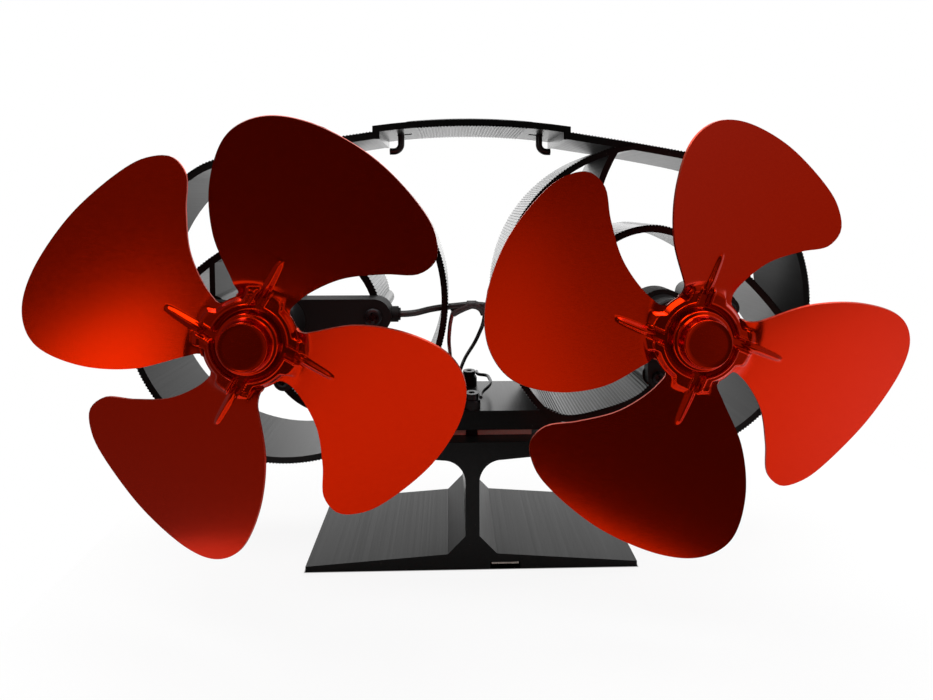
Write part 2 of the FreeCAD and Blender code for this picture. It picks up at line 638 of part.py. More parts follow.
def handle():
    edges = []
    grip_ends = []
    for sign in (-1, 1):
        leg_x = sign * HANDLE_HALF
        hook = HANDLE_FOOT_BEND * (1 - math.sqrt(0.5))
        grip_end = V(sign * grip_radius * math.sin(grip_slope), SINK_MIDDLE,
                     grip_z - grip_radius * (1 - math.cos(grip_slope)))
        turn = V(leg_x - sign * HANDLE_BEND, SINK_MIDDLE, grip_end.z - HANDLE_BEND * math.cos(grip_slope))
        half_way = (math.pi / 2 - grip_slope) / 2
        upper = turn + V(sign * HANDLE_BEND * math.cos(half_way), 0, HANDLE_BEND * math.sin(half_way))
        leg_top = turn + V(sign * HANDLE_BEND, 0, 0)
        leg_bottom = V(leg_x, SINK_MIDDLE, foot_z + HANDLE_FOOT_BEND)
        foot_start = V(leg_x + sign * HANDLE_FOOT_BEND, SINK_MIDDLE, foot_z)
        foot_end = V(leg_x + sign * HANDLE_FOOT, SINK_MIDDLE, foot_z)
        lower = V(leg_x + sign * hook, SINK_MIDDLE, foot_z + hook)
        edges.append(Part.Arc(grip_end, upper, leg_top).toShape())
        edges.append(Part.makeLine(leg_top, leg_bottom))
        edges.append(Part.Arc(leg_bottom, lower, foot_start).toShape())
        edges.append(Part.makeLine(foot_start, foot_end))
        grip_ends.append(grip_end)
    edges.append(Part.Arc(grip_ends[0], V(0, SINK_MIDDLE, grip_z), grip_ends[1]).toShape())
    path = Part.Wire(Part.__sortEdges__(edges))
    tip = V(-HANDLE_HALF - HANDLE_FOOT, SINK_MIDDLE, foot_z)
    section = Part.Wire(Part.makeCircle(HANDLE_WIRE / 2, tip, V(1, 0, 0)))
    return path.makePipeShell([section], True, False)


save("handle", handle())

# Wiring: each head's cable runs through the ring wall to the middle and is spliced to the modules' leads
wire_y = SINK_FRONT + CABLE_DEPTH
splice_z = cable_z() + SPLICE_RISE
wires = {}
for side, sign in SIDES.items():
    start = gland_start(sign) + V(-sign * GLAND_LENGTH, 0, 0)
    wall_x = sign * (RING_X - RING_RADIUS + RING_WALL)
    route = [start, start + V(-sign * 5.8, 0, 0), V(wall_x + sign * 4.4, wire_y - 0.3, cable_z() - 0.4),
             V(sign * SPLICE_HALF, wire_y + 0.4, splice_z)]
    wires["cable_" + side] = tube("cable " + side, route, CABLE)

# Shrink sleeves of the splice: one along the cables, one down to each lead
splice = V(0, wire_y + 0.4, splice_z)
black_end = splice + V(6.6, 0.4, -5.0)
red_end = splice + V(-9.6, 0.4, -4.4)
to_black = tube("sleeve to black", [splice, splice + V(5.4, 0.2, -0.6), black_end], SLEEVE_TUBE)
to_red = tube("sleeve to red", [splice, splice + V(-4.8, 0.2, -1.5), red_end], SLEEVE_TUBE)
core = rod(SLEEVE_TUBE / 2, splice + V(-SPLICE_HALF, 0, 0), splice + V(SPLICE_HALF, 0, 0))
sleeve = join([core, to_black, to_red])

# Leads from the modules' back edges, up behind the block and forward to the splice
lead_y = SINK_BACK + LEAD_BEHIND
lead_z = PLATFORM_TOP + MODULE_THICK / 2
module_back = SINK_MIDDLE + MODULE_DEPTH / 2
red_route = [red_end, red_end + V(-1.2, 1.2, -4.6), red_end + V(-2.0, 9.0, -16.0),
             V(-10.6, lead_y - 16.0, lead_z + 28.0), V(-9.9, lead_y, lead_z + 12.0), V(-9.9, lead_y, lead_z),
             V(-9.9, module_back, lead_z)]
black_route = [black_end, black_end + V(-0.4, 1.2, -4.6), black_end + V(-4.0, 10.0, -16.0),
               V(-3.2, lead_y - 15.0, lead_z + 27.0), V(-6.4, lead_y, lead_z + 12.0), V(-6.4, lead_y, lead_z),
               V(-6.4, module_back, lead_z)]
wires["lead_red"] = tube("lead red", red_route, LEAD)
wires["lead_black"] = tube("lead black", black_route, LEAD)
for name, wire in wires.items():
    save(name, wire)
    sleeve = sleeve.cut(wire)
save("splice_sleeve", sleeve)

# Sprung wire that bows between the two clamp screws' heads and keeps them from turning
lock_x = CLAMP_HEAD / 2 + LOCK_WIRE / 2 + FIT
lock_z = BLOCK_TOP + BUSH_HEIGHT + WASHER_THICK + CLAMP_HEAD_HEIGHT / 2
near, far = clamp_places()
lock_route = [V(lock_x, near - 3.0, lock_z), V(lock_x, near + 3.0, lock_z),
              V(lock_x + 7.0, near + 16.0, lock_z + 0.8), V(lock_x + 5.6, far - 6.5, lock_z + 0.8),
              V(lock_x, far - 2.6, lock_z), V(lock_x, far + 3.0, lock_z)]
save("lock_wire", tube("lock wire", lock_route, LOCK_WIRE))
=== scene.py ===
# %% [markdown]
# A heat-powered stove fan with two heads. The solids come in as a fixed frame, so every piece below is
# placed in the same metres as the real one: +Z up, +X to the viewer's right, the fans towards -Y.
# The lesson goes from the studio to the finishes, then to the pieces that the solids only block out.

# %% Load the frame
import bmesh
import bpy
import json
import math
from mathutils import Matrix, Vector


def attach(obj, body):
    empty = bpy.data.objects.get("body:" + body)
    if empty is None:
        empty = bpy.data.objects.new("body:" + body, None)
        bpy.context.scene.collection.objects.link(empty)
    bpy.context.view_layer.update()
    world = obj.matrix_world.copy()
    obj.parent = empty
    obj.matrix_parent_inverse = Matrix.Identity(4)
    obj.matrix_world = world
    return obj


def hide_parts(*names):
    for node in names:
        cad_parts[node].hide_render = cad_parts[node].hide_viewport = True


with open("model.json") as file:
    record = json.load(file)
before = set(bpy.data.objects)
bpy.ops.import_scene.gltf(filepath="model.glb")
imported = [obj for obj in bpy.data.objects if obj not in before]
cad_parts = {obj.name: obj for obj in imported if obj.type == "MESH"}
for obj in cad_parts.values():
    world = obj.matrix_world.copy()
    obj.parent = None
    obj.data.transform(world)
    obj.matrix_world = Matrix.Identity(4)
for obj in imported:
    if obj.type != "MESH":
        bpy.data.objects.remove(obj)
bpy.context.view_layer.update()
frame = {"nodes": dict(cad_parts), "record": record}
MM = 0.001
nodes = frame["nodes"]

# %% [markdown]
# The photograph was taken from close by with a wide lens, level, a little above the fans' axes. The
# picture was then cut so that the lens axis lies well above its middle, which is what the shift gives.
# A longer lens from further off would flatten the fans and hide the depth of the rings.

# %% Camera
CAMERA_AT = Vector((-0.011, -0.301, 0.1774))
CAMERA_YAW = math.radians(1.6)
FOCAL_PIXELS = 557.0
PICTURE_WIDTH = 933.0
PICTURE_HEIGHT = 700.0
AXIS_PIXEL_X = 465.4
AXIS_PIXEL_Y = 203.0

lens = bpy.data.cameras.new("camera")
lens.sensor_width = 36.0
lens.lens = FOCAL_PIXELS / PICTURE_WIDTH * lens.sensor_width
lens.shift_x = (PICTURE_WIDTH / 2 - AXIS_PIXEL_X) / PICTURE_WIDTH
lens.shift_y = -(PICTURE_HEIGHT / 2 - AXIS_PIXEL_Y) / PICTURE_WIDTH
lens.clip_start = 0.01
camera = bpy.data.objects.new("camera", lens)
camera.location = CAMERA_AT
camera.rotation_euler = (math.radians(90), 0, -CAMERA_YAW)
bpy.context.scene.collection.objects.link(camera)
bpy.context.scene.camera = camera
bpy.context.scene.view_settings.view_transform = "Standard"
print("lens %.2f mm, shift %.3f %.3f" % (lens.lens, lens.shift_x, lens.shift_y))

# %% [markdown]
# Satin metal shows the room more than its own colour. The set is a white sheet on a table with white
# behind it, and an unlit room behind the camera: faces that look back at the camera stay dark, and
# the thin sides of the rings pick up the white. The room is lighter on the right than on the left,
# and the white behind ends on the left. A picture of a room could give this too, but every lamp in it
# would show in the satin, so one world fades from each part to the next. To the camera it is plain
# white, and metal mirrors that white where it lies behind the part, so the background is white
# without more light on the object.

# %% World
ROOM_MIDDLE = 0.06
ROOM_RIGHT = 0.42
ROOM_LEFT = 0.24
RIGHT_SIDE = (0.22, 0.85)
LEFT_SIDE = (-0.85, -0.22)
BACK_SIDE = (-0.12, 0.40)
WHITE_BEHIND = (0.84, 0.84, 0.83, 1)
WHITE_ENDS = (-0.45, -0.37)
WHITE_LEFT_OVER = 0.05


def node(tree, kind, **values):
    """A new node with the given settings."""
    made = tree.nodes.new(kind)
    for name, value in values.items():
        setattr(made, name, value)
    return made


def fade(tree, value, low, high, start, end):
    """A smooth change of brightness from start to end while value goes from low to high."""
    made = node(tree, "ShaderNodeMapRange", interpolation_type="SMOOTHSTEP")
    for label, number in (("From Min", low), ("From Max", high), ("To Min", start), ("To Max", end)):
        made.inputs[label].default_value = number
    tree.links.new(value, made.inputs["Value"])
    return made.outputs["Result"]


def combine(tree, operation, first, second):
    """One Math node on two values."""
    made = node(tree, "ShaderNodeMath", operation=operation)
    tree.links.new(first, made.inputs[0])
    tree.links.new(second, made.inputs[1])
    return made.outputs[0]


world = bpy.data.worlds.new("studio")
bpy.context.scene.world = world
world.use_nodes = True
tree = world.node_tree
tree.nodes.clear()
facing = node(tree, "ShaderNodeTexCoord")
split = node(tree, "ShaderNodeSeparateXYZ")
tree.links.new(facing.outputs["Generated"], split.inputs[0])
right_wall = fade(tree, split.outputs["X"], *RIGHT_SIDE, ROOM_MIDDLE, ROOM_RIGHT)
left_wall = fade(tree, split.outputs["X"], *LEFT_SIDE, ROOM_LEFT - ROOM_MIDDLE, 0.0)
room = combine(tree, "ADD", right_wall, left_wall)
behind = fade(tree, split.outputs["Y"], *BACK_SIDE, 0.0, 1.0)
left_end = fade(tree, split.outputs["X"], *WHITE_ENDS, WHITE_LEFT_OVER, 1.0)
hung = combine(tree, "MULTIPLY", behind, left_end)
around = node(tree, "ShaderNodeMix", data_type="RGBA")
tree.links.new(hung, around.inputs["Factor"])
tree.links.new(room, around.inputs["A"])
around.inputs["B"].default_value = WHITE_BEHIND
path = node(tree, "ShaderNodeLightPath")
mirrored = combine(tree, "MAXIMUM", path.outputs["Is Glossy Ray"], path.outputs["Is Transmission Ray"])
backdrop = combine(tree, "MULTIPLY", mirrored, hung)
shown = combine(tree, "MAXIMUM", path.outputs["Is Camera Ray"], backdrop)
seen = node(tree, "ShaderNodeMix", data_type="RGBA")
tree.links.new(shown, seen.inputs["Factor"])
tree.links.new(around.outputs["Result"], seen.inputs["A"])
seen.inputs["B"].default_value = (1, 1, 1, 1)
sky = node(tree, "ShaderNodeBackground")
out = node(tree, "ShaderNodeOutputWorld")
tree.links.new(seen.outputs["Result"], sky.inputs["Color"])
tree.links.new(sky.outputs["Background"], out.inputs["Surface"])
print("world parts", len(tree.nodes))

# %% [markdown]
# The sheet is one flat face. To the camera it is mostly a white glow, with a share of the lit paper that
# keeps the shadow. Its front edge has a bay, because the lower blades mirror the dark there. Under the
# foot, and in a thin band past its edge, the paper's colour and glow are painted black as a painted shadow,
# so that no white shows in the foot's groove. A wide box with a round corner would hide the horizon as
# well, but the world already does that.

# %% Table
SHEET_LEFT = -0.195
SHEET_RIGHT = 0.30
SHEET_BACK = 1.2
SHEET_FRONT = [(SHEET_LEFT, -0.175), (0.0, -0.175), (0.06, -0.145), (0.12, -0.145), (0.18, -0.17),
               (SHEET_RIGHT, -0.17)]
SHEET_DROP = 0.0002
# Size of the painted shadow under the foot, and the width of its soft edge.
FOOT_SHADOW_HALF = {"X": 0.0805, "Y": 0.031}
FOOT_SHADOW_EDGE = 0.001
PAPER_WHITE = 0.88

table_mesh = bpy.data.meshes.new("table")
corners = [(x, y, 0) for x, y in SHEET_FRONT] + [(SHEET_RIGHT, SHEET_BACK, 0), (SHEET_LEFT, SHEET_BACK, 0)]
table_mesh.from_pydata(corners, [], [range(len(corners))])
table = bpy.data.objects.new("table", table_mesh)
table.location.z = -SHEET_DROP
bpy.context.scene.collection.objects.link(table)
paper = bpy.data.materials.new("white sheet")
paper.use_nodes = True
tree = paper.node_tree
tree.nodes.clear()
flat = node(tree, "ShaderNodeBsdfDiffuse")
glow = node(tree, "ShaderNodeEmission")
path = node(tree, "ShaderNodeLightPath")
spot = node(tree, "ShaderNodeTexCoord")
place = node(tree, "ShaderNodeSeparateXYZ")
tree.links.new(spot.outputs["Object"], place.inputs[0])
# Painted shadow: the paper's colour and its glow to the camera fade to black under the foot and in a thin
# band past its edge.
reach = []
for axis, half in FOOT_SHADOW_HALF.items():
    away = node(tree, "ShaderNodeMath", operation="ABSOLUTE")
    tree.links.new(place.outputs[axis], away.inputs[0])
    reach.append(fade(tree, away.outputs[0], half, half + FOOT_SHADOW_EDGE, 0.0, PAPER_WHITE))
outside = combine(tree, "MAXIMUM", reach[0], reach[1])
tree.links.new(outside, flat.inputs["Color"])
share = combine(tree, "MULTIPLY", path.outputs["Is Camera Ray"], outside)
both = node(tree, "ShaderNodeMixShader")
out = node(tree, "ShaderNodeOutputMaterial")
tree.links.new(share, both.inputs["Fac"])
tree.links.new(flat.outputs[0], both.inputs[1])
tree.links.new(glow.outputs[0], both.inputs[2])
tree.links.new(both.outputs[0], out.inputs["Surface"])
table_mesh.materials.append(paper)
print("table corners", len(corners))

# %% [markdown]
# Four soft panels light the set at a plain level: a wide one overhead, one behind for the inner sides of
# the rings, a small window at the front left that the left blade mirrors, and a weak lamp in the room.
# Sun lamps would give hard shadows and points would give hard sparks, so all four are area lamps.

# %% Lamps
def soft_lamp(name, at, aim, size, power):
    """A soft panel that looks at a point; sizes in metres, power in watts."""
    data = bpy.data.lights.new(name, "AREA")
    data.shape = "RECTANGLE"
    data.size, data.size_y = size
    data.energy = power
    lamp = bpy.data.objects.new(name, data)
    lamp.location = at
    lamp.rotation_euler = (Vector(aim) - Vector(at)).to_track_quat("-Z", "Y").to_euler()
    bpy.context.scene.collection.objects.link(lamp)
    return lamp


soft_lamp("overhead", at=(0.0, -0.1, 1.2), aim=(0.0, -0.1, 0.0), size=(1.6, 1.0), power=17.0)
soft_lamp("back_panel", at=(0.0, 1.1, 0.55), aim=(0.0, 0.0, 0.15), size=(1.6, 1.0), power=6.5)
soft_lamp("front_window", at=(-0.43, -1.10, 0.39), aim=(-0.15, 0.0, 0.13), size=(0.22, 0.20), power=0.32)
soft_lamp("room_light", at=(0.75, -1.05, 0.80), aim=(0.05, 0.0, 0.12), size=(0.7, 0.5), power=0.62)

# %% [markdown]
# Three effects are shared by the finishes, so each is a node group: the lines that a die or a roller
# leaves along a metal, the fine grain of an anodised, moulded or painted skin, and a little dust.
# They read Object coordinates, so a pattern stays with its piece when the piece turns.

# %% Shared effects
def effect(name, inputs, outputs):
    """A shader node group with named inputs and outputs, and its two end nodes."""
    group = bpy.data.node_groups.new(name, "ShaderNodeTree")
    for label, value in inputs.items():
        socket = group.interface.new_socket(name=label, in_out="INPUT", socket_type="NodeSocketFloat")
        socket.default_value = value
    for label in outputs:
        group.interface.new_socket(name=label, in_out="OUTPUT", socket_type="NodeSocketFloat")
    return group, node(group, "NodeGroupInput"), node(group, "NodeGroupOutput")


def stretched_noise(group, given, vector, detail):
    """Noise on coordinates that are scaled by three of the group's inputs."""
    scale = node(group, "ShaderNodeCombineXYZ")
    for axis in ("X", "Y", "Z"):
        group.links.new(given.outputs["Across " + axis], scale.inputs[axis])
    grown = node(group, "ShaderNodeVectorMath", operation="MULTIPLY")
    group.links.new(vector, grown.inputs[0])
    group.links.new(scale.outputs[0], grown.inputs[1])
    noise = node(group, "ShaderNodeTexNoise")
    noise.inputs["Scale"].default_value = 1.0
    noise.inputs["Detail"].default_value = detail
    group.links.new(grown.outputs[0], noise.inputs["Vector"])
    return noise


LINE_SCALES = {"Across X": 1500.0, "Across Y": 12.0, "Across Z": 1500.0}
GRAIN_SCALES = {"Across X": 2500.0, "Across Y": 2500.0, "Across Z": 2500.0}
SPECK_SIZE = 0.11
SPECK_SHARE = 0.07

lines_group, given, result = effect("drawn lines", LINE_SCALES, ["Lines"])
where = node(lines_group, "ShaderNodeTexCoord")
noise = stretched_noise(lines_group, given, where.outputs["Object"], detail=3.0)
lines_group.links.new(noise.outputs["Fac"], result.inputs["Lines"])

grain_group, given, result = effect("skin grain", GRAIN_SCALES, ["Grain"])
where = node(grain_group, "ShaderNodeTexCoord")
noise = stretched_noise(grain_group, given, where.outputs["Object"], detail=2.0)
grain_group.links.new(noise.outputs["Fac"], result.inputs["Grain"])

dust_group, given, result = effect("dust", {"Size": 700.0, "Amount": 0.2}, ["Dust"])
where = node(dust_group, "ShaderNodeTexCoord")
specks = node(dust_group, "ShaderNodeTexVoronoi")
dust_group.links.new(where.outputs["Object"], specks.inputs["Vector"])
dust_group.links.new(given.outputs["Size"], specks.inputs["Scale"])
small = node(dust_group, "ShaderNodeMath", operation="LESS_THAN")
small.inputs[1].default_value = SPECK_SIZE
dust_group.links.new(specks.outputs["Distance"], small.inputs[0])
few = node(dust_group, "ShaderNodeMath", operation="LESS_THAN")
few.inputs[1].default_value = SPECK_SHARE
hue = node(dust_group, "ShaderNodeSeparateXYZ")
dust_group.links.new(specks.outputs["Color"], hue.inputs[0])
dust_group.links.new(hue.outputs["X"], few.inputs[0])
kept = combine(dust_group, "MULTIPLY", small.outputs[0], few.outputs[0])
dusted = combine(dust_group, "MULTIPLY", kept, given.outputs["Amount"])
dust_group.links.new(dusted, result.inputs["Dust"])
print("effects", lines_group.name, grain_group.name, dust_group.name)

# %% [markdown]
# One helper builds every finish from a dark and a light shade of its colour, mixed by its own lines or
# grain, with roughness and a bump from the same pattern. The metals, plastics and insulation differ in
# their values only, and the red sheet gets a bare, paler line where its edges were sheared.

# %% Finishes
DUST_COLOUR = (0.45, 0.43, 0.40, 1)
RELIEF = 0.0001
COAT_FROM = 0.35
COAT_TO = 0.65
COAT_LOW = 0.55


def finish(name, dark, light, metallic, rough, pattern, across, bump, dust=0.0, coat=0.0, ior=1.5):
    """A Principled finish: pattern is its group, across the group's scales, rough a low and high value."""
    made = bpy.data.materials.new(name)
    made.use_nodes = True
    tree = made.node_tree
    shader = tree.nodes["Principled BSDF"]
    skin = node(tree, "ShaderNodeGroup", node_tree=pattern)
    for axis, scale in zip("XYZ", across):
        skin.inputs["Across " + axis].default_value = scale
    shade = node(tree, "ShaderNodeMix", data_type="RGBA")
    shade.inputs["A"].default_value = (*dark, 1)
    shade.inputs["B"].default_value = (*light, 1)
    tree.links.new(skin.outputs[0], shade.inputs["Factor"])
    specks = node(tree, "ShaderNodeGroup", node_tree=dust_group)
    specks.inputs["Amount"].default_value = dust
    pale = node(tree, "ShaderNodeMix", data_type="RGBA")
    pale.inputs["B"].default_value = DUST_COLOUR
    tree.links.new(specks.outputs["Dust"], pale.inputs["Factor"])
    tree.links.new(shade.outputs["Result"], pale.inputs["A"])
    tree.links.new(pale.outputs["Result"], shader.inputs["Base Color"])
    gloss = node(tree, "ShaderNodeMapRange")
    gloss.inputs["To Min"].default_value = rough[0]
    gloss.inputs["To Max"].default_value = rough[1]
    tree.links.new(skin.outputs[0], gloss.inputs["Value"])
    tree.links.new(gloss.outputs["Result"], shader.inputs["Roughness"])
    relief = node(tree, "ShaderNodeBump")
    relief.inputs["Strength"].default_value = bump
    relief.inputs["Distance"].default_value = RELIEF
    tree.links.new(skin.outputs[0], relief.inputs["Height"])
    tree.links.new(relief.outputs["Normal"], shader.inputs["Normal"])
    shader.inputs["Metallic"].default_value = metallic
    sheen = node(tree, "ShaderNodeMapRange")
    limits = {"From Min": COAT_FROM, "From Max": COAT_TO, "To Min": COAT_LOW * coat, "To Max": coat}
    for label, number in limits.items():
        sheen.inputs[label].default_value = number
    tree.links.new(skin.outputs[0], sheen.inputs["Value"])
    tree.links.new(sheen.outputs["Result"], shader.inputs["Coat Weight"])
    shader.inputs["Coat Roughness"].default_value = rough[0]
    shader.inputs["Coat IOR"].default_value = ior
    shader.inputs["IOR"].default_value = ior
    return made


DRAWN = (1100.0, 6.0, 1100.0)
FINE = (2500.0, 2500.0, 2500.0)
COARSE = (900.0, 900.0, 900.0)
finishes = {
    "black_anodised": finish(
        "black anodised extrusion", dark=(0.0015, 0.0015, 0.0014), light=(0.005, 0.005, 0.0047),
        metallic=0.0, rough=(0.26, 0.42), pattern=lines_group, across=DRAWN, bump=0.35, dust=0.12,
        coat=0.8, ior=1.16),
    "red_anodised": finish(
        "red anodised sheet", dark=(0.50, 0.0105, 0.0003), light=(0.62, 0.0185, 0.0006), metallic=1.0,
        rough=(0.17, 0.25), pattern=grain_group, across=(300.0, 2600.0, 2600.0), bump=0.05, dust=0.03),
    "black_plastic": finish(
        "moulded black plastic", dark=(0.003, 0.003, 0.003), light=(0.009, 0.009, 0.009), metallic=0.0,
        rough=(0.55, 0.75), pattern=grain_group, across=FINE, bump=0.35, dust=0.10, ior=1.3),
    "motor_steel": finish(
        "black coated motor pot", dark=(0.006, 0.006, 0.006), light=(0.014, 0.014, 0.015),
        metallic=0.0, rough=(0.38, 0.55), pattern=lines_group, across=(120.0, 1800.0, 120.0),
        bump=0.15, dust=0.10, ior=1.25),
    "dark_steel": finish(
        "blackened screw steel", dark=(0.012, 0.012, 0.013), light=(0.040, 0.040, 0.042), metallic=1.0,
        rough=(0.28, 0.50), pattern=grain_group, across=FINE, bump=0.15, dust=0.05),
    "zinc_steel": finish(
        "zinc plated steel", dark=(0.50, 0.51, 0.52), light=(0.66, 0.67, 0.69), metallic=1.0,
        rough=(0.22, 0.36), pattern=grain_group, across=COARSE, bump=0.12),
    "shaft_steel": finish(
        "ground shaft steel", dark=(0.55, 0.55, 0.56), light=(0.70, 0.70, 0.71), metallic=1.0,
        rough=(0.14, 0.28), pattern=lines_group, across=(60.0, 3000.0, 60.0), bump=0.10),
    "brass": finish(
        "turned brass", dark=(0.58, 0.40, 0.15), light=(0.76, 0.56, 0.26), metallic=1.0,
        rough=(0.18, 0.32), pattern=lines_group, across=(60.0, 2600.0, 60.0), bump=0.15),
    "bimetal": finish(
        "rolled bimetal strip", dark=(0.36, 0.32, 0.28), light=(0.50, 0.46, 0.42), metallic=1.0,
        rough=(0.28, 0.44), pattern=lines_group, across=DRAWN, bump=0.2),
    "module_ceramic": finish(
        "module ceramic", dark=(0.62, 0.47, 0.41), light=(0.76, 0.62, 0.55), metallic=0.0,
        rough=(0.5, 0.7), pattern=grain_group, across=COARSE, bump=0.2),
    "black_wire": finish(
        "coated handle wire", dark=(0.012, 0.012, 0.012), light=(0.030, 0.030, 0.031), metallic=0.0,
        rough=(0.22, 0.40), pattern=grain_group, across=COARSE, bump=0.30, dust=0.15),
    "red_insulation": finish(
        "red wire insulation", dark=(0.20, 0.010, 0.008), light=(0.33, 0.020, 0.016), metallic=0.0,
        rough=(0.34, 0.5), pattern=grain_group, across=COARSE, bump=0.2),
    "black_insulation": finish(
        "black wire insulation", dark=(0.010, 0.010, 0.010), light=(0.024, 0.024, 0.025), metallic=0.0,
        rough=(0.30, 0.46), pattern=grain_group, across=COARSE, bump=0.25, dust=0.10),
    "grey_sleeve": finish(
        "shrink sleeve", dark=(0.030, 0.030, 0.031), light=(0.075, 0.075, 0.077), metallic=0.0,
        rough=(0.35, 0.55), pattern=grain_group, across=(420.0, 420.0, 420.0), bump=0.6, dust=0.10),
}
sheared_edge = finish(
    "sheared sheet edge", dark=(0.45, 0.030, 0.012), light=(0.60, 0.10, 0.06), metallic=1.0,
    rough=(0.30, 0.55), pattern=grain_group, across=COARSE, bump=0.35)
for part in frame["record"]["subparts"]:
    mesh = nodes[part["node"]].data
    mesh.materials.clear()
    mesh.materials.append(finishes[part["material_slot"]])
print("finishes", len(finishes))

# %% [markdown]
# Each fan is one stamping: a stepped boss on a brim with four raised pads, and four thin blades that
# are rolled to a curve and slightly bent from use, each a little differently. A lathe can't make the
# blades and a sculpted blade would not repeat, so the whole front face is one grid in polar rows. The
# hub's rows run all round, and each blade goes on from the hub's own points, so the metal flows over
# the joint without a seam. Solidify then gives the sheet its thickness.

# %% Shape of the stamping
SIDES = (("left", -1), ("right", 1))
BLADES = 4
AXIS_X = 91.2
AXIS_Z = 121.5
FLANGE_Y = -75.0
FLANGE_RADIUS = 19.3
SHEET = 0.9
ROLL_RADIUS = 256.0
ROLL_OFFSET = 70.0
LEAN = {"left": [-15.0, 2.2, 10.3, 1.3], "right": [1.1, -3.2, 3.1, 9.0]}
TWIST = {"left": [-0.6, 8.0, -0.9, -0.5], "right": [-4.2, -0.1, 8.4, 0.3]}
TURN = {"left": 58.9, "right": 67.5}
BEND_FROM = 18.0
BEND_TO = 25.0
RIM = [(44.4, 42.3), (64.0, 36.7), (80.0, 29.6), (87.3, 22.0), (89.8, 12.5),
       (89.3, -3.5), (87.7, -20.5), (86.3, -28.5), (81.8, -35.0), (73.2, -37.0), (60.0, -32.0),
       (44.4, -24.3), (29.0, -19.0)]
ROOT_LEFT = 48.5
ROOT_RIGHT = -25.5
LEFT_FILLET = [(19.5, 45.6), (20.1, 43.6), (21.4, 42.3), (26.0, 42.0)]
RIGHT_FILLET = [(21.4, -19.2), (20.1, -20.6), (19.5, -22.6)]


def ease(low, high, value):
    """0 below low to 1 above high, with a smooth change between them."""
    step = min(max((value - low) / (high - low), 0.0), 1.0)
    return step * step * (3 - 2 * step)


def roll_depth(x, z, lean, twist):
    """Depth of a blade behind the flange's plane, x along its middle line, z to its left."""
    flange_roll = math.sqrt(ROLL_RADIUS ** 2 - ROLL_OFFSET ** 2)
    roll = math.sqrt(ROLL_RADIUS ** 2 - (z + ROLL_OFFSET) ** 2) - flange_roll
    bend = (x - FLANGE_RADIUS) * math.tan(math.radians(lean))
    return roll + bend + z * math.tan(math.radians(twist))


HUB_STEPS = [(0.0, 8.85), (9.0, 8.85), (9.25, 8.98), (9.5, 8.95), (9.7, 8.7), (9.82, 8.2), (10.5, 5.4),
             (11.0, 4.8), (12.0, 4.5), (12.4, 4.0), (12.9, 1.3), (13.3, 0.8), (13.9, 0.7), (19.3, 0.2)]


def hub_height(radius):
    """Height of the boss and brim towards the viewer, without the pads."""
    for (r0, h0), (r1, h1) in zip(HUB_STEPS[:-1], HUB_STEPS[1:]):
        if radius <= r1:
            return h0 + (h1 - h0) * (radius - r0) / (r1 - r0)
    return HUB_STEPS[-1][1]


# %% [markdown]
# Pressed marks stiffen the stamping. Beside each blade's middle line a leaf-shaped dart starts on the
# brim and runs out onto the blade, and in line with it a channel parts the brim's raised pads, whose
# corners are round and whose inner edge has a second small step. They are heights added to the same
# grid, so their edges stay as soft as pressed sheet is, and the grid is finer where they lie.

# %% Pressed marks
DART_ASIDE = 4.9
DART_FROM = 18.0
DART_TO = 35.4
DART_HALF = 2.3
DART_HEIGHT = 1.7
DART_LEAST_HALF = 0.01
DART_BEGIN = 0.12
DART_TAPER = 0.3
DART_BLUNT = 14
DART_FALL = 0.35
DART_FLANK = 0.95
PAD_FROM = 13.9
PAD_TO = 22.6
PAD_GAP_TO = 19.2
PAD_HEIGHT = 2.3
PAD_SLOPE = 2.3
PAD_CORNER = 1.7
PAD_STEP_SHARE = 0.45
PAD_FIRST_STEP = (0.0, 0.4)
PAD_SECOND_STEP = (0.75, 1.2)
LIP_AT = 1.5
LIP_HALF = 0.55
LIP_SHARE = 0.2
PAD_RIGHT_END = (-15.0, -6.0)
PAD_LEFT_END = (30.0, 39.0)
CHANNEL_HALF = 1.1


def pad_share(inward, sideways):
    """0 outside a pad's edge to 1 on its top, with round corners and two small steps."""
    if inward < PAD_CORNER and sideways < PAD_CORNER:
        inside = PAD_CORNER - math.hypot(PAD_CORNER - inward, PAD_CORNER - sideways)
    else:
        inside = min(inward, sideways)
    lip = max(0.0, 1 - ((inside - LIP_AT) / LIP_HALF) ** 2)
    first = PAD_STEP_SHARE * ease(*PAD_FIRST_STEP, inside)
    second = (1 - PAD_STEP_SHARE) * ease(*PAD_SECOND_STEP, inside)
    return first + second + LIP_SHARE * lip


def pressed(flat):
    """Height of the pressed marks at a point beside a blade's middle line, which runs along x."""
    radius = flat.length
    side = abs(flat.y - DART_ASIDE)
    height = 0.0
    if DART_FROM < flat.x < DART_TO:
        along = (flat.x - DART_FROM) / (DART_TO - DART_FROM)
        taper = (1 - DART_TAPER * along) * math.sqrt(1 - along ** DART_BLUNT)
        half = DART_HALF * math.sqrt(min(1.0, along / DART_BEGIN)) * taper + DART_LEAST_HALF
        height += DART_HEIGHT * (1 - DART_FALL * along) * ease(0.0, DART_FLANK, 1 - side / half)
    if PAD_FROM < radius < PAD_TO:
        degrees = math.degrees(math.atan2(flat.y, flat.x))
        on_blade = ease(*PAD_RIGHT_END, degrees) * (1 - ease(*PAD_LEFT_END, degrees))
        ends = PAD_GAP_TO + (PAD_TO - PAD_GAP_TO) * on_blade
        top = PAD_HEIGHT * (1 - ease(ends - PAD_SLOPE, ends, radius))
        height += top * pad_share(radius - PAD_FROM, side - CHANNEL_HALF)
    return height


# %% [markdown]
# A blade's edge runs from one root round the tip to the other. It could be traced by hand as a Bezier
# curve, but the same blade is needed eight times at exact sizes. So a few points in polar form give it, a
# smooth curve goes through them, and its two halves on either side of the tip get the same number of rows.

# %% Blade outline
EDGE_STEPS = 24
ROWS = 64
ROW_GROWTH = 1.15


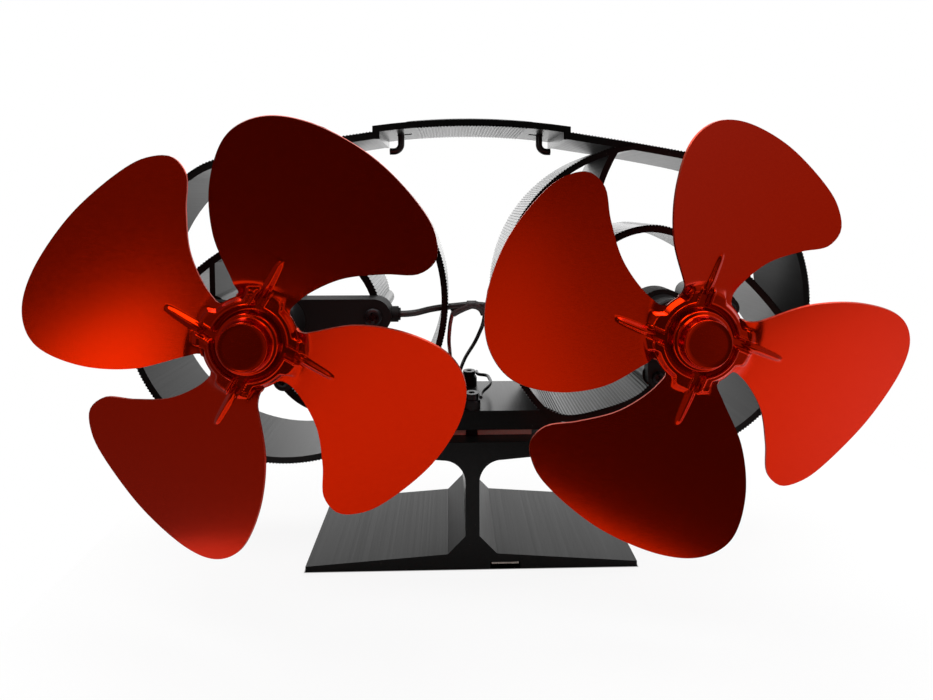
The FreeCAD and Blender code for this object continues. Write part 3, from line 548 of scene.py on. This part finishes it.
def smooth_curve(points, steps):
    """Points along a smooth curve through the given ones."""
    ends = [points[0] * 2 - points[1]] + points + [points[-1] * 2 - points[-2]]
    curve = []
    for i in range(len(points) - 1):
        p0, p1, p2, p3 = ends[i:i + 4]
        lengths = [max((b - a).length, 1e-6) ** 0.5 for a, b in ((p0, p1), (p1, p2), (p2, p3))]
        t0 = 0.0
        t1 = t0 + lengths[0]
        t2 = t1 + lengths[1]
        t3 = t2 + lengths[2]
        for k in range(steps):
            t = t1 + (t2 - t1) * k / steps
            a1 = p0 * ((t1 - t) / (t1 - t0)) + p1 * ((t - t0) / (t1 - t0))
            a2 = p1 * ((t2 - t) / (t2 - t1)) + p2 * ((t - t1) / (t2 - t1))
            a3 = p2 * ((t3 - t) / (t3 - t2)) + p3 * ((t - t2) / (t3 - t2))
            b1 = a1 * ((t2 - t) / (t2 - t0)) + a2 * ((t - t0) / (t2 - t0))
            b2 = a2 * ((t3 - t) / (t3 - t1)) + a3 * ((t - t1) / (t3 - t1))
            curve.append(b1 * ((t2 - t) / (t2 - t1)) + b2 * ((t - t1) / (t2 - t1)))
    curve.append(points[-1].copy())
    return curve


def at_share(curve, shares):
    """Points at the given shares of a curve's length."""
    lengths = [0.0]
    for a, b in zip(curve[:-1], curve[1:]):
        lengths.append(lengths[-1] + (b - a).length)
    found = []
    for share in shares:
        goal = share * lengths[-1]
        i = next((k for k in range(1, len(lengths)) if lengths[k] >= goal - 1e-9), len(lengths) - 1)
        part = (goal - lengths[i - 1]) / max(lengths[i] - lengths[i - 1], 1e-9)
        found.append(curve[i - 1].lerp(curve[i], part))
    return found


def flat_polar(radius, degrees):
    return Vector((radius * math.cos(math.radians(degrees)), radius * math.sin(math.radians(degrees))))


outline = [(FLANGE_RADIUS, ROOT_LEFT)] + LEFT_FILLET + RIM + RIGHT_FILLET + [(FLANGE_RADIUS, ROOT_RIGHT)]
rim = [flat_polar(r, a) for r, a in outline]
edge = smooth_curve(rim, EDGE_STEPS)
tip = max(range(len(edge)), key=lambda i: edge[i].length)
left_edge = edge[:tip + 1]
right_edge = edge[tip:][::-1]
shares = [(i / ROWS) ** ROW_GROWTH for i in range(1, ROWS + 1)]
left_side = at_share(left_edge, shares)
right_side = at_share(right_edge, shares)
print("blade reach %.1f mm, rows %d" % (edge[tip].length, ROWS))

# %% [markdown]
# The grid has the same columns on every quarter, set closer together at the dart. Rings of points make the
# hub, with more of them where its profile is steep. An even grid would be simpler, but it would need many
# more points to draw the small steps of the pads as well.

# %% Columns and rings
ROW_STEP = 0.19
FLAT_TOP_ROWS = 6
QUARTER = [(-38.0, 9), (ROOT_RIGHT, 19), (3.0, 46), (23.0, 17), (ROOT_LEFT, 3), (52.0, 0)]


def hub_radii():
    """Radii of the hub's rings: every stretch of the profile is cut into steps of its own."""
    radii = []
    for (r0, h0), (r1, h1) in zip(HUB_STEPS[:-1], HUB_STEPS[1:]):
        count = max(2, math.ceil((r1 - r0) / ROW_STEP)) if r0 else FLAT_TOP_ROWS
        radii += [r0 + (r1 - r0) * k / count for k in range(count)]
    return radii[1:] + [FLANGE_RADIUS]


def quarter_degrees():
    """Degrees of the columns about one blade's middle line, closer together at its dart."""
    degrees = []
    for (start, count), (end, after) in zip(QUARTER[:-1], QUARTER[1:]):
        degrees += [start + (end - start) * k / count for k in range(count)]
    return degrees


def quarter_turn(i):
    return Matrix.Rotation(math.radians(i * 360 / BLADES), 2)


def hub_rings(point):
    """The hub's points, ring by ring; point adds one of them."""
    rings = []
    for radius in hub_radii():
        ring = []
        for i in range(BLADES):
            for degrees in degrees_of:
                flat = flat_polar(radius, degrees)
                ring.append(point(quarter_turn(i) @ flat, -hub_height(radius) - pressed(flat)))
        rings.append(ring)
    return rings


degrees_of = quarter_degrees()
COLUMNS = BLADES * len(degrees_of)
print("hub grid", len(hub_radii()), "rings,", COLUMNS, "columns")

# %% [markdown]
# A blade goes on from the hub's last ring, row by row, from its right edge to its left. Close to the hub
# the rows keep the arc of the brim, and further out they run straight across, up to the tip.

# %% Rows of a blade
FIRST = degrees_of.index(ROOT_RIGHT)
LAST = degrees_of.index(ROOT_LEFT)
root_degrees = degrees_of[FIRST:LAST + 1]
root = [flat_polar(FLANGE_RADIUS, degrees) for degrees in root_degrees]
across_root = [(degrees - ROOT_RIGHT) / (ROOT_LEFT - ROOT_RIGHT) for degrees in root_degrees]


def blade_row(point, side, i, n):
    """The points of row n on blade i; the last row is the tip alone."""
    row = []
    for k, share in enumerate(across_root):
        if n == ROWS - 1 and k:
            row.append(row[0])
            continue
        arc = root[k] - root[0].lerp(root[-1], share)
        flat = right_side[n].lerp(left_side[n], share) + arc * (1 - shares[n]) ** 2
        settle = ease(BEND_FROM, BEND_TO, flat.length)
        depth = roll_depth(flat.x, flat.y, LEAN[side][i], TWIST[side][i]) * settle
        row.append(point(quarter_turn(i) @ flat, depth - pressed(flat) - HUB_STEPS[-1][1] * (1 - settle)))
    return row


print("points across a blade", len(root))

# %% [markdown]
# Now the faces. Smooth shading carries the soft pressed edges, and the sheet's cut edge is marked sharp,
# because there the metal really has a corner. The thickness could be drawn as a second grid, but Solidify
# keeps it even and gives the rim a material of its own.

# %% Fans
def fan_mesh(side, sign):
    """The front face of one fan, still without thickness."""
    made = bmesh.new()
    turn = math.radians(TURN[side])

    def point(flat, depth):
        x = flat.x * math.cos(turn) - flat.y * math.sin(turn)
        z = flat.x * math.sin(turn) + flat.y * math.cos(turn)
        return made.verts.new(((sign * AXIS_X + x) * MM, (FLANGE_Y + depth) * MM, (AXIS_Z + z) * MM))

    rings = hub_rings(point)
    middle = point(Vector((0, 0)), -HUB_STEPS[0][1])
    for k in range(COLUMNS):
        made.faces.new((middle, rings[0][k], rings[0][k - 1]))
    for inner, outer in zip(rings[:-1], rings[1:]):
        for k in range(COLUMNS):
            made.faces.new((inner[k - 1], inner[k], outer[k], outer[k - 1]))
    for i in range(BLADES):
        row = rings[-1][i * len(degrees_of) + FIRST:i * len(degrees_of) + LAST + 1]
        for n in range(ROWS):
            fresh = blade_row(point, side, i, n)
            for k in range(len(row) - 1):
                corners = [row[k], row[k + 1], fresh[k + 1], fresh[k]]
                made.faces.new([v for j, v in enumerate(corners) if v not in corners[:j]])
            row = fresh
    bmesh.ops.recalc_face_normals(made, faces=made.faces)
    if sum(f.normal.y * f.calc_area() for f in made.faces) > 0:
        bmesh.ops.reverse_faces(made, faces=made.faces)
    for face in made.faces:
        face.smooth = True
    for cut in made.edges:
        cut.smooth = not cut.is_boundary
    mesh = bpy.data.meshes.new("fan " + side)
    made.to_mesh(mesh)
    made.free()
    return mesh


def plain_mesh(holder):
    """The plain mesh that an object's modifiers give; the object itself is removed."""
    graph = bpy.context.evaluated_depsgraph_get()
    mesh = bpy.data.meshes.new_from_object(holder.evaluated_get(graph))
    bpy.data.objects.remove(holder)
    return mesh


def add_piece(name, mesh, finish_slot, body, *stands_for):
    """A finished piece that moves with a body and may stand for one of the solids."""
    thing = bpy.data.objects.new(name, mesh)
    bpy.context.scene.collection.objects.link(thing)
    if not mesh.materials:
        mesh.materials.append(finishes[finish_slot])
    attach(thing, body)
    if stands_for:
        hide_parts(*stands_for)
    return thing


for side, sign in SIDES:
    sheet = bpy.data.objects.new("sheet", fan_mesh(side, sign))
    bpy.context.scene.collection.objects.link(sheet)
    sheet.data.materials.append(finishes["red_anodised"])
    sheet.data.materials.append(sheared_edge)
    thick = sheet.modifiers.new("thickness", "SOLIDIFY")
    thick.thickness = SHEET * MM
    thick.offset = -1.0
    thick.material_offset_rim = 1
    fan = add_piece("stamped_fan_" + side, plain_mesh(sheet), "red_anodised", side + "_rotor", "fan_" + side)
    print(fan.name, "faces", len(fan.data.polygons))

# %% [markdown]
# The extrusion has fine ribs along its depth wherever it gives off heat: round the rings, on the backs
# of the spiral fins and on the shoulders and the underside of the arch. They are far too many to place by
# hand, so a Geometry Nodes tree walks along lines that lie on those faces and sets a thin round rib at
# every step. The ribs are partly sunk, which leaves the scalloped face and saw-tooth edge of the profile.

# %% Lines that carry the ribs
RING_X = 91.2
RING_Z = 128.6
RING_RADIUS = 79.1
SINK_FRONT = -25.0
SINK_BACK = 21.0
FIN_WALL = 3.5
SHOULDER_WALL = 3.6
SHOULDER_LINE = [(-42.6, 82.2), (-13.2, 77.6), (15.4, 72.6), (28.0, 70.0), (39.0, 66.6), (47.8, 61.1)]
SPIRAL_LINE = [(75.4, -24.0), (57.4, 0.2), (36.0, 20.5), (11.0, 33.6), (-0.5, 35.9), (-19.2, 31.1),
               (-34.0, 17.5), (-42.3, 4.0), (-44.0, -5.1)]
LOWER_LINE = [(-56.5, -54.0), (-44.2, -58.6), (-28.2, -56.3), (-7.2, -48.6), (2.0, -39.5)]
ARCH_TOP = 219.0
ARCH_WALL = 3.3
ARCH_RADIUS = 348.9
ARCH_RIBS = 27.0
RIB_RADIUS = 0.55
RIB_PITCH = 1.6
RIB_SUNK = 0.2
RIB_SIDES = 8
RING_START = 98.0
RING_SWEEP = 315.0
RING_STEPS = 200
ARCH_STEPS = 20
FIN_STEPS = 12


def face_line(points, half):
    """A line beside a fin's middle line, on the face to its left."""
    middle = smooth_curve([Vector(p) for p in points], FIN_STEPS)
    moved = []
    for i, at in enumerate(middle):
        along = (middle[min(i + 1, len(middle) - 1)] - middle[max(i - 1, 0)]).normalized()
        moved.append(at + Vector((-along.y, along.x)) * half)
    return moved


def under_arch(x):
    """A point on the arch's underside, from the ring's centre."""
    drop = ARCH_RADIUS - math.sqrt(ARCH_RADIUS ** 2 - x ** 2)
    return Vector((x - RING_X, ARCH_TOP - ARCH_WALL - drop + RIB_SUNK - RING_Z))


ring_line = [flat_polar(RING_RADIUS - RIB_SUNK, RING_START + RING_SWEEP * i / RING_STEPS)
             for i in range(RING_STEPS + 1)]
arch_line = [under_arch(RIB_PITCH / 2 + (ARCH_RIBS - RIB_PITCH / 2) * i / ARCH_STEPS)
             for i in range(ARCH_STEPS + 1)]
rib_lines = [ring_line,
             arch_line,
             face_line(SHOULDER_LINE, SHOULDER_WALL / 2 - RIB_SUNK),
             face_line(SPIRAL_LINE, -FIN_WALL / 2 + RIB_SUNK),
             face_line(LOWER_LINE, FIN_WALL / 2 - RIB_SUNK)]
print("rib lines", len(rib_lines))

# %% [markdown]
# The tree cuts each line into steps of one pitch, lays a thin cylinder on every step and turns the copies
# into plain faces, since the export drops instances. An Array modifier could follow one line, but not
# five lines on each side at once. The left side's lines are the mirror image of the right side's.

# %% Ribs by Geometry Nodes
def start_tree(name, inputs, output):
    """A Geometry Nodes tree with named inputs and one output, and its two end nodes."""
    tree = bpy.data.node_groups.new(name, "GeometryNodeTree")
    for label, kind in inputs.items():
        tree.interface.new_socket(name=label, in_out="INPUT", socket_type="NodeSocket" + kind)
    tree.interface.new_socket(name=output, in_out="OUTPUT", socket_type="NodeSocketGeometry")
    return tree, node(tree, "NodeGroupInput"), node(tree, "NodeGroupOutput")


def end_tree(tree, place, given, result):
    """Makes plain faces of a tree's copies, gives them their finish and puts them out."""
    whole = node(tree, "GeometryNodeRealizeInstances")
    skin = node(tree, "GeometryNodeSetMaterial")
    tree.links.new(place.outputs["Instances"], whole.inputs["Geometry"])
    tree.links.new(whole.outputs["Geometry"], skin.inputs["Geometry"])
    tree.links.new(given.outputs["Finish"], skin.inputs["Material"])
    tree.links.new(skin.outputs["Geometry"], result.inputs[0])


def rib_tree():
    inputs = {"Lines": "Geometry", "Pitch": "Float", "Rib radius": "Float", "Rib length": "Float",
              "Finish": "Material"}
    tree, given, result = start_tree("ribs along a line", inputs, "Ribs")
    steps = node(tree, "GeometryNodeResampleCurve", mode="LENGTH")
    rib = node(tree, "GeometryNodeMeshCylinder")
    rib.inputs["Vertices"].default_value = RIB_SIDES
    lay = node(tree, "GeometryNodeTransform")
    lay.inputs["Rotation"].default_value = (math.radians(90), 0, 0)
    place = node(tree, "GeometryNodeInstanceOnPoints")
    link = tree.links.new
    link(given.outputs["Lines"], steps.inputs["Curve"])
    link(given.outputs["Pitch"], steps.inputs["Length"])
    link(given.outputs["Rib radius"], rib.inputs["Radius"])
    link(given.outputs["Rib length"], rib.inputs["Depth"])
    link(rib.outputs["Mesh"], lay.inputs["Geometry"])
    link(steps.outputs["Curve"], place.inputs["Points"])
    link(lay.outputs["Geometry"], place.inputs["Instance"])
    end_tree(tree, place, given, result)
    return tree


def set_inputs(modifier, values):
    """Sets a tree's named inputs by their sockets' identifiers."""
    for item in modifier.node_group.interface.items_tree:
        if item.in_out == "INPUT" and item.name in values:
            modifier[item.identifier] = values[item.name]


lines = bpy.data.curves.new("rib lines", "CURVE")
lines.dimensions = "3D"
sink_middle = (SINK_FRONT + SINK_BACK) / 2
for side, sign in SIDES:
    for line in rib_lines:
        spline = lines.splines.new("POLY")
        spline.points.add(len(line) - 1)
        for at, point in zip(line, spline.points):
            point.co = (sign * (RING_X + at.x) * MM, sink_middle * MM, (RING_Z + at.y) * MM, 1)
holder = bpy.data.objects.new("rib lines", lines)
bpy.context.scene.collection.objects.link(holder)
rule = holder.modifiers.new("ribs", "NODES")
rule.node_group = rib_tree()
set_inputs(rule, {"Pitch": RIB_PITCH * MM, "Rib radius": RIB_RADIUS * MM,
                  "Rib length": (SINK_BACK - SINK_FRONT) * MM, "Finish": finishes["black_anodised"]})
ribs = add_piece("cooling_ribs", plain_mesh(holder), "black_anodised", "frame")
print(ribs.name, "faces", len(ribs.data.polygons))

# %% [markdown]
# The brackets are held by pan-head screws with a cross recess: a big one at the end of each bar and two
# small ones on the ears. A recess could be cut with a Boolean, but its corners would be knife-sharp. So
# one head is drawn as a disc whose height dips in the cross, with soft flanks as from a punch.

# %% Cross-recess head
HEAD_HEIGHT = 2.2
HEAD_ROWS = 16
HEAD_COLUMNS = 72
RECESS_DEPTH = 1.1
ARM_HALF = 0.095
ARM_REACH = 0.30
ARM_SLOPE = 0.03
ARM_END_SLOPE = 0.08
DOME_DROP = 0.45


def head_profile(x, y):
    """Height of a screw head of width 1 over its seat, as a share of its full height."""
    dome = 1 - DOME_DROP * (2 * math.hypot(x, y)) ** 4
    across, along = sorted((abs(x), abs(y)))
    arm = 1 - ease(ARM_HALF - ARM_SLOPE, ARM_HALF, across)
    cross = arm * (1 - ease(ARM_REACH - ARM_END_SLOPE, ARM_REACH, along))
    return dome - RECESS_DEPTH / HEAD_HEIGHT * cross


def screw_head():
    """One head of width 1 about the origin, its face towards -Y, with the seat at 0."""
    made = bmesh.new()
    rings = []
    for i in range(1, HEAD_ROWS + 1):
        spots = [flat_polar(0.5 * i / HEAD_ROWS, 360 * k / HEAD_COLUMNS) for k in range(HEAD_COLUMNS)]
        rings.append([made.verts.new((p.x, -HEAD_HEIGHT * head_profile(p.x, p.y), p.y)) for p in spots])
    rings.append([made.verts.new((v.co.x, 0, v.co.z)) for v in rings[-1]])
    middle = made.verts.new((0, -HEAD_HEIGHT * head_profile(0, 0), 0))
    for k in range(HEAD_COLUMNS):
        made.faces.new((middle, rings[0][k - 1], rings[0][k]))
    for inner, outer in zip(rings[:-1], rings[1:]):
        for k in range(HEAD_COLUMNS):
            made.faces.new((inner[k - 1], outer[k - 1], outer[k], inner[k]))
    made.faces.new(rings[-1])
    bmesh.ops.recalc_face_normals(made, faces=made.faces)
    mesh = bpy.data.meshes.new("screw head")
    made.to_mesh(mesh)
    made.free()
    return mesh


head_object = bpy.data.objects.new("screw head", screw_head())
bpy.context.scene.collection.objects.link(head_object)
print("screw head faces", len(head_object.data.polygons))

# %% [markdown]
# A second tree sets the head on each seat at that seat's width, so that all the screws stay alike. Each
# seat is one point with its width as an attribute. The shanks in the bosses are plain rods.

# %% Screws on their seats
SCREW_SEATS = [((-44.0, -5.1), -37.0, 8.4), ((35.7, -3.0), -30.0, 5.6), ((0.0, -37.0), -30.0, 5.6)]
SHANK = 1.5
SHANK_SIDES = 24
SHANK_END = -17.0


def screw_tree():
    inputs = {"Seats": "Geometry", "Head": "Object", "Finish": "Material"}
    tree, given, result = start_tree("screws on their seats", inputs, "Screws")
    head = node(tree, "GeometryNodeObjectInfo")
    width = node(tree, "GeometryNodeInputNamedAttribute", data_type="FLOAT")
    width.inputs["Name"].default_value = "head width"
    size = node(tree, "ShaderNodeCombineXYZ")
    size.inputs["Y"].default_value = MM
    place = node(tree, "GeometryNodeInstanceOnPoints")
    link = tree.links.new
    link(given.outputs["Seats"], place.inputs["Points"])
    link(given.outputs["Head"], head.inputs["Object"])
    link(head.outputs["Geometry"], place.inputs["Instance"])
    link(width.outputs["Attribute"], size.inputs["X"])
    link(width.outputs["Attribute"], size.inputs["Z"])
    link(size.outputs["Vector"], place.inputs["Scale"])
    end_tree(tree, place, given, result)
    return tree


def add_shanks(mesh, spots):
    """Adds a rod behind each head, from its seat to the end of the bore."""
    shaped = bmesh.new()
    shaped.from_mesh(mesh)
    for x, y, z in spots:
        reach = SHANK_END * MM - y
        lie = Matrix.Translation((x, y + reach / 2, z)) @ Matrix.Rotation(math.radians(90), 4, "X")
        bmesh.ops.create_cone(shaped, segments=SHANK_SIDES, cap_ends=True, radius1=SHANK * MM,
                              radius2=SHANK * MM, depth=reach, matrix=lie)
    shaped.to_mesh(mesh)
    shaped.free()


seat_rule = screw_tree()
for side, sign in SIDES:
    seats = bpy.data.meshes.new("screw seats")
    spots = [(sign * (RING_X + at[0]) * MM, y * MM, (RING_Z + at[1]) * MM) for at, y, width in SCREW_SEATS]
    seats.from_pydata(spots, [], [])
    widths = seats.attributes.new("head width", "FLOAT", "POINT")
    for i, (at, y, width) in enumerate(SCREW_SEATS):
        widths.data[i].value = width * MM
    holder = bpy.data.objects.new("seats", seats)
    bpy.context.scene.collection.objects.link(holder)
    rule = holder.modifiers.new("screws", "NODES")
    rule.node_group = seat_rule
    set_inputs(rule, {"Head": head_object, "Finish": finishes["dark_steel"]})
    screws = plain_mesh(holder)
    add_shanks(screws, spots)
    add_piece("cross_screws_" + side, screws, "dark_steel", "frame", "bracket_screws_" + side)
    print("cross screws", side, "faces", len(screws.polygons))
bpy.data.objects.remove(head_object)

# %% [markdown]
# Seen from behind, each motor ends in a moulded cap with a bearing boss and two brass tabs. The solids
# stop at the plain pot, so the cap is turned from a short profile, as on a lathe. The tabs are thin flat
# strips that stand out from it, made as boxes, since nothing finer would show.

# %% Motor ends
MOTOR_BACK = -20.0
CAP_STEPS = [(2.4, 2.6), (2.9, 2.2), (3.1, 1.4), (9.4, 1.4), (10.2, 1.0), (10.5, 0.0)]
CAP_SIDES = 48
TAB_ASIDE = 6.4
TAB_HALF = 1.1
TAB_THICK = 0.4
TAB_LENGTH = 4.6


def turned_cap(made, x):
    """Adds one cap, turned about the motor's axis, to the mesh in hand."""
    rings = []
    for radius, height in CAP_STEPS:
        spots = [flat_polar(radius, 360 * k / CAP_SIDES) for k in range(CAP_SIDES)]
        y = (MOTOR_BACK + height) * MM
        rings.append([made.verts.new(((x + p.x) * MM, y, (AXIS_Z + p.y) * MM)) for p in spots])
    made.faces.new(rings[0])
    for inner, outer in zip(rings[:-1], rings[1:]):
        for k in range(CAP_SIDES):
            made.faces.new((inner[k - 1], inner[k], outer[k], outer[k - 1]))
    made.faces.new(rings[-1])


def tab(made, x, z):
    """Adds one terminal strip that stands out from the cap."""
    stand = Matrix.Translation((x * MM, (MOTOR_BACK + TAB_LENGTH / 2) * MM, z * MM))
    shape = Matrix.Diagonal((TAB_THICK * MM, TAB_LENGTH * MM, 2 * TAB_HALF * MM, 1))
    bmesh.ops.create_cube(made, size=1.0, matrix=stand @ shape)


caps = bmesh.new()
tabs = bmesh.new()
for side, sign in SIDES:
    turned_cap(caps, sign * AXIS_X)
    for aside in (-TAB_ASIDE, TAB_ASIDE):
        tab(tabs, sign * AXIS_X + aside, AXIS_Z)
for name, made, slot in (("motor_end_caps", caps, "black_plastic"), ("motor_tabs", tabs, "brass")):
    bmesh.ops.recalc_face_normals(made, faces=made.faces)
    mesh = bpy.data.meshes.new(name)
    made.to_mesh(mesh)
    made.free()
    add_piece(name, mesh, slot, "frame")
    print(name, "faces", len(mesh.polygons))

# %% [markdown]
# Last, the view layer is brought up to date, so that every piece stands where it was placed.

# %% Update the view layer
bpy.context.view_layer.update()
